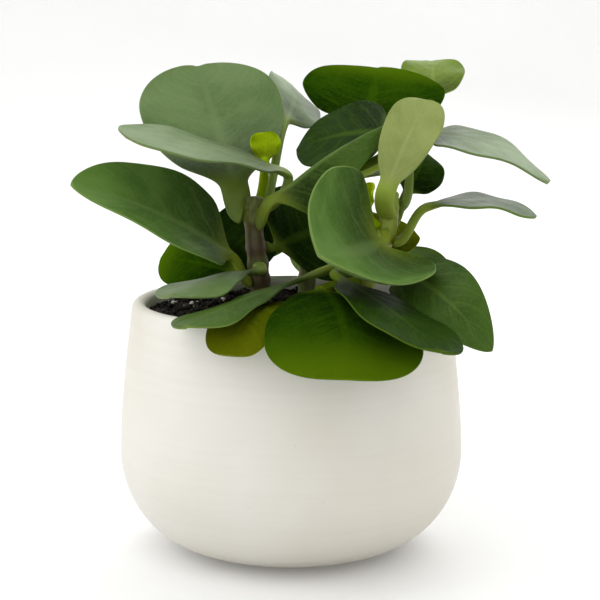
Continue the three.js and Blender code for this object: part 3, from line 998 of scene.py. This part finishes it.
# %% Leaf sections
BLADE = 0.001
MARGIN = 0.0008
RIB = 0.0011
PETIOLE_EDGE = 0.0004
NECK = 0.2
NECK_END = 0.5
NECK_FADE = 0.4
LAST_ROW = 0.99998
ROW_POWER = 1.25
ACROSS = 16
PETIOLE_ROWS = 10
BLADE_ROWS = 44
GROOVE = 0.00028
GROOVE_WIDTH = 0.07
QUILT = 0.00012
SILK = 0.3
VEIN_PAIRS = 6
VEIN_SWEEP = 2.3
RIPPLE = 0.0005
RIPPLE_TURNS = 13.75
RIPPLE_SHIFT = 2
MIDRIB_BLEND = 0.15
PHASE_STEP = 1.7


def blade_relief(u, s, phase):
    """How far the upper face stands proud of a smooth blade."""
    groove = -GROOVE * math.exp(-((u / GROOVE_WIDTH) ** 2)) * (1 - s)
    vein = math.cos(2 * math.pi * (VEIN_PAIRS * s - VEIN_SWEEP * abs(u)))
    quilt = -QUILT * vein * abs(u) * (1 - abs(u)) * 4
    return groove + quilt + SILK * QUILT * math.sin(9 * u + 7 * s + phase)


def leaf_section(leaf, s, neck, centre, along, normal, phase):
    """The points round one cross-section: over the upper face, and back along the lower one.

    The columns lie closer at the margin than at the midrib, where the blade is nearly flat.
    """
    side = along.cross(normal)
    open_share = smooth(s / NECK)
    width = max(half_width(leaf, s), neck * (1 - smooth((s - NECK_END) / NECK_FADE)))
    fold = math.radians(leaf["fold"])
    cup = math.radians(leaf["cup"]) * (1 - leaf["relax"] * s * s) + TINY
    upper, lower = [], []
    for i in range(ACROSS + 1):
        v = 2 * i / ACROSS - 1
        u = 1.5 * v - 0.5 * v**3
        turn = fold + cup * abs(u)
        sign = math.copysign(1, u) if u else 0
        out = sign * width * (math.sin(turn) - math.sin(fold)) / cup
        lift = width * (math.cos(fold) - math.cos(turn)) / cup
        lift += RIPPLE * u * u * math.sin(RIPPLE_TURNS * s + phase + RIPPLE_SHIFT * sign)
        centred = min(1, abs(u) / MIDRIB_BLEND)
        thick = 0.5 * lerp(BLADE, MARGIN, abs(u))
        rib = RIB * (1 - s) * math.exp(-((u / GROOVE_WIDTH) ** 2))
        round_out = neck * math.sin(u * math.pi / 2)
        round_up = max(PETIOLE_RADIUS / 1000 * math.cos(u * math.pi / 2), PETIOLE_EDGE)
        for row, face, extra in ((upper, 1, blade_relief(u, s, phase)), (lower, -1, rib)):
            flat_out = out - face * thick * sign * math.sin(turn) * centred
            flat_up = lift + face * (thick * math.cos(turn * centred) + extra)
            x = lerp(round_out, flat_out, open_share)
            z = lerp(face * round_up, flat_up, open_share)
            row.append(centre + side * x + normal * z)
    return upper + lower[::-1]


def leaf_skin(leaf, phase):
    """A leaf's sections as rows of points, with the share of the midrib that each row lies at."""
    face = Vector(leaf["face"])
    chord = (vector(leaf["tip"]) - vector(leaf["base"])).normalized()
    sheath = leaf["sheath"] / 1000
    rows, shares = [], []
    for i in range(BLADE_ROWS + 1):
        s = LAST_ROW * math.sin(0.5 * math.pi * i / BLADE_ROWS) ** ROW_POWER
        point, along = midrib_at(leaf, s)
        turn = Matrix.Rotation(math.radians(leaf["twist"]) * (s - 0.5), 3, chord)
        rows.append(leaf_section(leaf, s, sheath, point, along, square(turn @ face, along), phase))
        shares.append(s)
    normal = square(face, midrib_at(leaf, 0)[1])
    for i in range(PETIOLE_ROWS - 1, -1, -1):
        t = i / PETIOLE_ROWS
        point, along = petiole_at(leaf, t)
        neck = lerp(leaf["flare"] / 1000, sheath, smooth(t))
        normal = square(normal, along)
        rows.insert(0, leaf_section(leaf, 0, neck, point, along, normal, phase))
        shares.insert(0, t - 1)
    return rows, shares


print("rows in a leaf:", BLADE_ROWS + PETIOLE_ROWS + 1)

# %% [markdown]
# A notch is a small dent at a leaf's tip, which many broad leaves have. It pulls the middle of the
# last rows back along the midrib. Then every leaf is built and stands in for its solid.

# %% Leaves
NOTCH_SPREAD = 0.0028
NOTCH_DEPTH = 0.005


def dent(point, leaf):
    """A point of the blade after the notch at its tip has pulled it back."""
    tip, along = midrib_at(leaf, 1)
    depth = leaf["notch"] / 1000
    offset = point - tip
    back = offset.dot(along)
    across = (offset - along * back).length
    near = math.exp(-((across / NOTCH_SPREAD) ** 2)) * math.exp(-((back / NOTCH_DEPTH) ** 2))
    return point - along * (depth * near)


def grow_leaf(name, leaf, number):
    """Builds one leaf in place of its solid."""
    columns = 2 * (ACROSS + 1)
    rows, shares = leaf_skin(leaf, phase=PHASE_STEP * number)

    def side_of(column):
        return column if column <= ACROSS else 2 * ACROSS + 1 - column

    def place(column, row):
        return dent(rows[row][column], leaf)

    def chart(column, row):
        across = side_of(column) / ACROSS if column < columns else 0.0
        return (across, 0.5 + 0.5 * shares[row])

    piece = rolled_skin(
        name + "_grown", columns, len(rows) - 1, place, chart, under=lambda c: float(c > ACROSS)
    )
    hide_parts(name)
    settle(piece)
    return piece


leaves = {name: grow_leaf(name, leaf, i) for i, (name, leaf) in enumerate(LEAVES.items())}
print("leaf faces:", sum(len(piece.data.polygons) for piece in leaves.values()))

# %% [markdown]
# One node group paints every leaf. It reads the leaf's own map, which runs from edge to edge and
# from petiole to tip, so a pattern follows the blade however it bends. This cell makes the group
# and its base colour: a mottled green with painted shade that darkens it towards the petiole, where
# the leaves shade one another, and with painted light on the tip in tones that give the tip a
# lighter colour.

# %% Leaf surface: map and mottling
# Two of these colours paint light and shade: the painted shade near the petiole and the painted
# light on the tip.
LEAF_COLOURS = ("Upper", "Shade", "Painted Shade", "Lit Tip", "Under", "Vein", "Margin", "Petiole")
# One of these numbers sets how far up the blade the painted shade near the petiole reaches.
LEAF_NUMBERS = ("Vein Strength", "Gloss", "Depth")
MOTTLE_SCALE = 70
FRECKLE_SCALE = 900
FRECKLE_STRENGTH = 0.18
# How strongly the painted shade darkens the blade at the petiole.
PAINTED_SHADE_STRENGTH = 0.9
# Where the painted light on the tip begins along the midrib, and how strongly it lightens the
# blade.
LIT_TIP_START = 0.6
LIT_TIP_STRENGTH = 0.8

skin, skin_in, skin_out = new_group(
    "leaf_surface",
    colours=LEAF_COLOURS,
    numbers=LEAF_NUMBERS,
    results=("Color", "Roughness", "Height"),
)
chart_place = add(skin, "ShaderNodeUVMap", uv_map="skin_map").outputs["UV"]
chart_axes = add(skin, "ShaderNodeSeparateXYZ", {0: chart_place}).outputs
across = maths(skin, "SUBTRACT", maths(skin, "MULTIPLY", chart_axes["X"], 2.0), 1.0)
from_midrib = maths(skin, "ABSOLUTE", across)
along = maths(skin, "SUBTRACT", maths(skin, "MULTIPLY", chart_axes["Y"], 2.0), 1.0)

mottle = fade(skin, grain(skin, MOTTLE_SCALE, detail=4.0), 0.35, 0.65)
# Painted shade: the blade darkens towards the petiole, where the leaves shade one another, and
# fades out at a share of the midrib that the tone sets.
painted_shade = fade(skin, along, 0.05, skin_in["Depth"], PAINTED_SHADE_STRENGTH, 0.0)
# Painted light: in tones that give the tip a lighter colour, the blade lightens towards the lit
# tip.
lit_tip_share = fade(skin, along, LIT_TIP_START, 1.0, 0.0, LIT_TIP_STRENGTH)
freckles = fade(skin, grain(skin, FRECKLE_SCALE), 0.35, 0.75, 0.0, FRECKLE_STRENGTH)
upper = mix(skin, mottle, skin_in["Upper"], skin_in["Shade"])
# The painted shade near the petiole goes on first, then the painted light on the tip.
upper = mix(skin, painted_shade, upper, skin_in["Painted Shade"])
upper = mix(skin, lit_tip_share, upper, skin_in["Lit Tip"])
upper = mix(skin, freckles, upper, skin_in["Vein"])
print("nodes so far:", len(skin.nodes))

# %% [markdown]
# Next come the veins. A pale midrib narrows towards the tip, and faint side veins leave it at a
# slant. Between them run fine streaks, the striae, which give the blade its silky look: they are a
# noise drawn out along the side veins, with another part of the noise on each half of the blade.

# %% Leaf surface: veins and striae
VEIN_WAVER = 0.5
VEIN_WAVER_SCALE = 160
VEIN_STRENGTH = 0.3
MIDRIB_FOOT = 0.11
MIDRIB_TIP = 0.03
STRIA_ROWS = 9.0
STRIA_RUN = 3.0
STRIA_SPLIT = 40.0
STRIA_STRENGTH = 0.22

waver = maths(skin, "MULTIPLY", grain(skin, VEIN_WAVER_SCALE), VEIN_WAVER)
sweep_back = maths(skin, "MULTIPLY", from_midrib, VEIN_SWEEP)
vein_count = maths(skin, "MULTIPLY", along, float(VEIN_PAIRS))
vein_place = maths(skin, "ADD", maths(skin, "SUBTRACT", vein_count, sweep_back), waver)
vein_gap = maths(skin, "PINGPONG", vein_place, 0.5)
veins = fade(skin, vein_gap, 0.02, 0.13, 1.0, 0.0)
veins = maths(skin, "MULTIPLY", veins, fade(skin, from_midrib, 0.55, 0.95, 1.0, 0.0))
veins = maths(skin, "MULTIPLY", veins, fade(skin, along, 0.0, 0.1))

midrib_width = fade(skin, along, 0.0, 1.0, MIDRIB_FOOT, MIDRIB_TIP)
midrib = maths(skin, "SUBTRACT", 1.0, maths(skin, "DIVIDE", from_midrib, midrib_width))
midrib = fade(skin, midrib, 0.0, 0.8)
midrib = maths(skin, "MULTIPLY", midrib, fade(skin, along, 0.55, 1.0, 1.0, 0.1))
lines = maths(skin, "MAXIMUM", maths(skin, "MULTIPLY", veins, VEIN_STRENGTH), midrib)
lines = maths(skin, "MULTIPLY", lines, skin_in["Vein Strength"])

half = fade(skin, across, -0.01, 0.01, 0.0, STRIA_SPLIT)
stria_place = {
    "X": maths(skin, "MULTIPLY", vein_place, STRIA_ROWS),
    "Y": maths(skin, "MULTIPLY", from_midrib, STRIA_RUN),
    "Z": half,
}
drawn_out = add(skin, "ShaderNodeCombineXYZ", stria_place).outputs[0]
striae = grain(skin, 1.0, detail=3.0, place=drawn_out)
upper = mix(skin, fade(skin, striae, 0.45, 0.7, 0.0, STRIA_STRENGTH), upper, skin_in["Vein"])
upper = mix(skin, lines, upper, skin_in["Vein"])
print("nodes so far:", len(skin.nodes))

# %% [markdown]
# The last cell of the group joins the parts. The underside is paler and duller than the upper
# face, a thin light margin runs round the blade, and the petiole is a watery yellow-green. The
# height is made of ridges along the streaks, dents along the veins, pits like pores, and small
# puckers.

# %% Leaf surface: underside, margin and relief
MARGIN_STRENGTH = 0.45
PITS = 2200
PIT_HEIGHT = 0.35
PUCKERS = 260
PUCKER_HEIGHT = 0.6
VEIN_DENT = -0.5
UNDER_DULL = 0.16
MOTTLE_DULL = 0.08

under = add(skin, "ShaderNodeAttribute", attribute_name="underside").outputs["Fac"]
lower = mix(skin, mottle, skin_in["Under"], skin_in["Vein"])
lower = mix(skin, maths(skin, "MULTIPLY", lines, 0.8), lower, skin_in["Petiole"])
blade = mix(skin, under, upper, lower)
edge = maths(skin, "MAXIMUM", fade(skin, from_midrib, 0.95, 1.0), fade(skin, along, 0.985, 1.0))
blade = mix(skin, maths(skin, "MULTIPLY", edge, MARGIN_STRENGTH), blade, skin_in["Margin"])
stalk = fade(skin, along, -0.02, 0.2, 1.0, 0.0)
put(skin_out["Color"], mix(skin, stalk, blade, skin_in["Petiole"]), skin)

dull = maths(skin, "ADD", skin_in["Gloss"], maths(skin, "MULTIPLY", mottle, MOTTLE_DULL))
dull = maths(skin, "ADD", dull, maths(skin, "MULTIPLY", under, UNDER_DULL))
put(skin_out["Roughness"], dull, skin)
pits = maths(skin, "MULTIPLY", grain(skin, PITS, detail=1.0), PIT_HEIGHT)
ridges = maths(skin, "ADD", maths(skin, "MULTIPLY", lines, VEIN_DENT), striae)
puckers = maths(skin, "MULTIPLY", grain(skin, PUCKERS), PUCKER_HEIGHT)
put(skin_out["Height"], maths(skin, "ADD", maths(skin, "ADD", pits, ridges), puckers), skin)
print("leaf surface nodes:", len(skin.nodes))

# %% [markdown]
# The tones. Leaves of one plant differ with age and with how much light they get: old ones are deep
# green, new ones are yellow-green, and some have a grey bloom. Each tone also gives the painted
# shade near the petiole and the painted light on the tip. A tone without a colour for the tip keeps
# its Upper colour there, and one without a colour for the painted shade darkens its Shade colour
# for it. All leaves let a little light through, which the shader's subsurface value gives. Shine is
# how strongly the face mirrors the panels.

# %% Leaf finishes
# How dark a tone's painted shade near the petiole is when the tone gives no colour for it, as a
# share of its Shade colour.
PAINTED_SHADE_SCALE = 0.55
# A plain tone's painted shade fades out 0.62 of the way up the blade.
PLAIN_TONE = {"Vein Strength": 0.5, "Gloss": 0.40, "Depth": 0.62, "Shine": 0.02}
LEAF_TONES = {
    "mid": {
        "Upper": (64, 92, 30), "Shade": (46, 74, 17), "Under": (80, 104, 40),
        "Vein": (96, 122, 48), "Margin": (126, 146, 70), "Petiole": (116, 134, 44),
        "Shine": 0.1,
    },
    # The fresh tone is a lighter green of its own, and its cool grey cast is a painted sheen, since
    # its own shine is low.
    "fresh": {
        "Upper": (92, 126, 54), "Shade": (72, 106, 40), "Under": (90, 114, 50),
        "Vein": (110, 136, 74), "Margin": (128, 148, 84), "Petiole": (124, 140, 44),
    },
    "grey": {
        "Upper": (92, 118, 60), "Shade": (74, 102, 44), "Under": (98, 116, 66),
        "Vein": (108, 130, 76), "Margin": (112, 128, 70), "Petiole": (116, 138, 48),
        "Vein Strength": 0.35, "Gloss": 0.46, "Shine": 0.32,
    },
    # The deep tone has a darker painted shade near the petiole that reaches further up the blade,
    # for leaves that stand in shade inside the plant.
    "deep": {
        "Upper": (32, 56, 9), "Shade": (22, 46, 6), "Painted Shade": (10, 26, 7), "Under": (60, 82, 28),
        "Vein": (66, 94, 16), "Margin": (92, 116, 34), "Petiole": (100, 120, 36),
        "Depth": 0.8,
    },
    # The rich tone has painted light on its tip, and a painted shade of its own near the petiole.
    "rich": {
        "Upper": (38, 66, 5), "Shade": (24, 52, 4), "Painted Shade": (9, 29, 5), "Lit Tip": (76, 102, 10),
        "Under": (62, 88, 16), "Vein": (68, 102, 6), "Margin": (98, 126, 24),
        "Petiole": (104, 126, 28),
        "Vein Strength": 0.25, "Gloss": 0.34, "Shine": 0.0,
    },
    # The front tone paints a shadow over most of the blade, cast by the leaves above it, and
    # painted light on its lower, lit tip.
    "front": {
        "Upper": (38, 66, 5), "Shade": (26, 54, 4), "Painted Shade": (7, 24, 5), "Lit Tip": (86, 112, 10),
        "Under": (62, 88, 16), "Vein": (64, 96, 6), "Margin": (104, 130, 26),
        "Petiole": (104, 126, 28),
        "Vein Strength": 0.25, "Gloss": 0.34, "Depth": 0.85, "Shine": 0.0,
    },
    "olive": {
        "Upper": (86, 94, 6), "Shade": (68, 78, 4), "Under": (104, 114, 30),
        "Vein": (102, 114, 18), "Margin": (128, 140, 44), "Petiole": (116, 128, 30),
        "Gloss": 0.36, "Shine": 0.0,
    },
    # The pale tone's light, yellowish greens are a painted sheen, the back light mirrored by this
    # leaf's face, and its colour near the petiole stays as light.
    "pale": {
        "Upper": (138, 150, 80), "Shade": (122, 136, 66), "Painted Shade": (130, 142, 72),
        "Under": (118, 134, 70), "Vein": (146, 160, 98), "Margin": (148, 162, 98),
        "Petiole": (136, 156, 54),
        "Shine": 0.2,
    },
    "young": {
        "Upper": (110, 134, 30), "Shade": (90, 116, 18), "Under": (120, 140, 62),
        "Vein": (130, 152, 60), "Margin": (146, 166, 78), "Petiole": (136, 158, 44),
        "Shine": 0.15,
    },
    "bud": {
        "Upper": (142, 166, 3), "Shade": (122, 150, 2), "Under": (150, 172, 20),
        "Vein": (164, 184, 26), "Margin": (166, 186, 40), "Petiole": (140, 166, 16),
        "Vein Strength": 0.2, "Gloss": 0.34,
    },
}
LEAF_SHADER = {
    "Subsurface Weight": 0.10,
    "Subsurface Radius": (0.5, 1.0, 0.05),
    "Subsurface Scale": 0.002,
}


def leaf_finish(title):
    """The material of one tone."""
    tone = PLAIN_TONE | LEAF_TONES[title]
    # A tone without its own colours gets no painted light on the tip, and a painted shade near the
    # petiole that is its Shade colour darkened.
    tone.setdefault("Lit Tip", tone["Upper"])
    tone.setdefault("Painted Shade", tuple(round(PAINTED_SHADE_SCALE * part) for part in tone["Shade"]))
    values = {name: colour(*tone[name]) for name in LEAF_COLOURS}
    values |= {name: tone[name] for name in LEAF_NUMBERS}
    shader_values = LEAF_SHADER | {"Specular IOR Level": tone["Shine"]}
    return finish_from(
        "leaf_" + title, skin, values, bump=0.35, distance=0.0002, shader_values=shader_values
    )


leaf_materials = {title: leaf_finish(title) for title in LEAF_TONES}
for name, piece in leaves.items():
    piece.data.materials.clear()
    piece.data.materials.append(leaf_materials[LEAVES[name]["tone"]])
print("leaf finishes:", len(leaf_materials))

# %% [markdown]
# Stems of this plant are green and streaked along their length, and brown where they are old and
# where a leaf has been. The left one is the oldest, the right one is fresh. Streaks are noise that
# is stretched along the stem by its own map.

# %% Stem finishes
STREAK_SCALE = 2.2
STREAK_STRETCH = (9, 5, 1)
STREAK_STRENGTH = 0.5
PATCH_SCALE = 140
YOUNG_FROM = 0.6
YOUNG_ABOVE = 0.8

bark, bark_in, bark_out = new_group(
    "stem_surface",
    colours=("Green", "Brown", "Streak"),
    numbers=("Age",),
    results=("Color", "Roughness", "Height"),
)
stem_map = add(bark, "ShaderNodeUVMap", uv_map="skin_map").outputs["UV"]
stretched = {"Vector": stem_map, "Scale": STREAK_STRETCH}
stem_place = add(bark, "ShaderNodeMapping", stretched).outputs[0]
streaks = grain(bark, STREAK_SCALE, detail=4.0, place=stem_place)
height_share = add(bark, "ShaderNodeSeparateXYZ", {0: stem_map}).outputs["Y"]
patches = maths(bark, "ADD", grain(bark, PATCH_SCALE, detail=3.0), bark_in["Age"])
youth = fade(bark, height_share, YOUNG_FROM, YOUNG_ABOVE, 0.0, 0.6)
patches = maths(bark, "SUBTRACT", patches, youth)
streak_share = fade(bark, streaks, 0.45, 0.7, 0.0, STREAK_STRENGTH)
bark_colour = mix(bark, fade(bark, patches, 0.6, 1.0), bark_in["Green"], bark_in["Brown"])
put(bark_out["Color"], mix(bark, streak_share, bark_colour, bark_in["Streak"]), bark)
put(bark_out["Roughness"], fade(bark, streaks, NOISE_LOW, NOISE_HIGH, 0.42, 0.6), bark)
put(bark_out["Height"], streaks, bark)

STEM_TONES = {
    "left": {"Green": (92, 104, 30), "Brown": (70, 58, 38), "Streak": (50, 48, 26)},
    "right": {"Green": (138, 158, 42), "Brown": (104, 96, 46), "Streak": (166, 184, 78)},
    "back": {"Green": (104, 118, 52), "Brown": (88, 70, 46), "Streak": (74, 76, 38)},
}
STEM_AGES = {"left": 0.38, "right": 0.05, "back": 0.2}


def stem_finish(title):
    """The material of one stem."""
    values = {name: colour(*shade) for name, shade in STEM_TONES[title].items()}
    values["Age"] = STEM_AGES[title]
    return finish_from(
        "stem_" + title,
        bark,
        values,
        bump=0.4,
        distance=0.0003,
        shader_values={"Subsurface Weight": 0.06},
    )


for title, piece in stems.items():
    piece.data.materials.clear()
    piece.data.materials.append(stem_finish(title))
print("stem finishes:", len(STEM_TONES))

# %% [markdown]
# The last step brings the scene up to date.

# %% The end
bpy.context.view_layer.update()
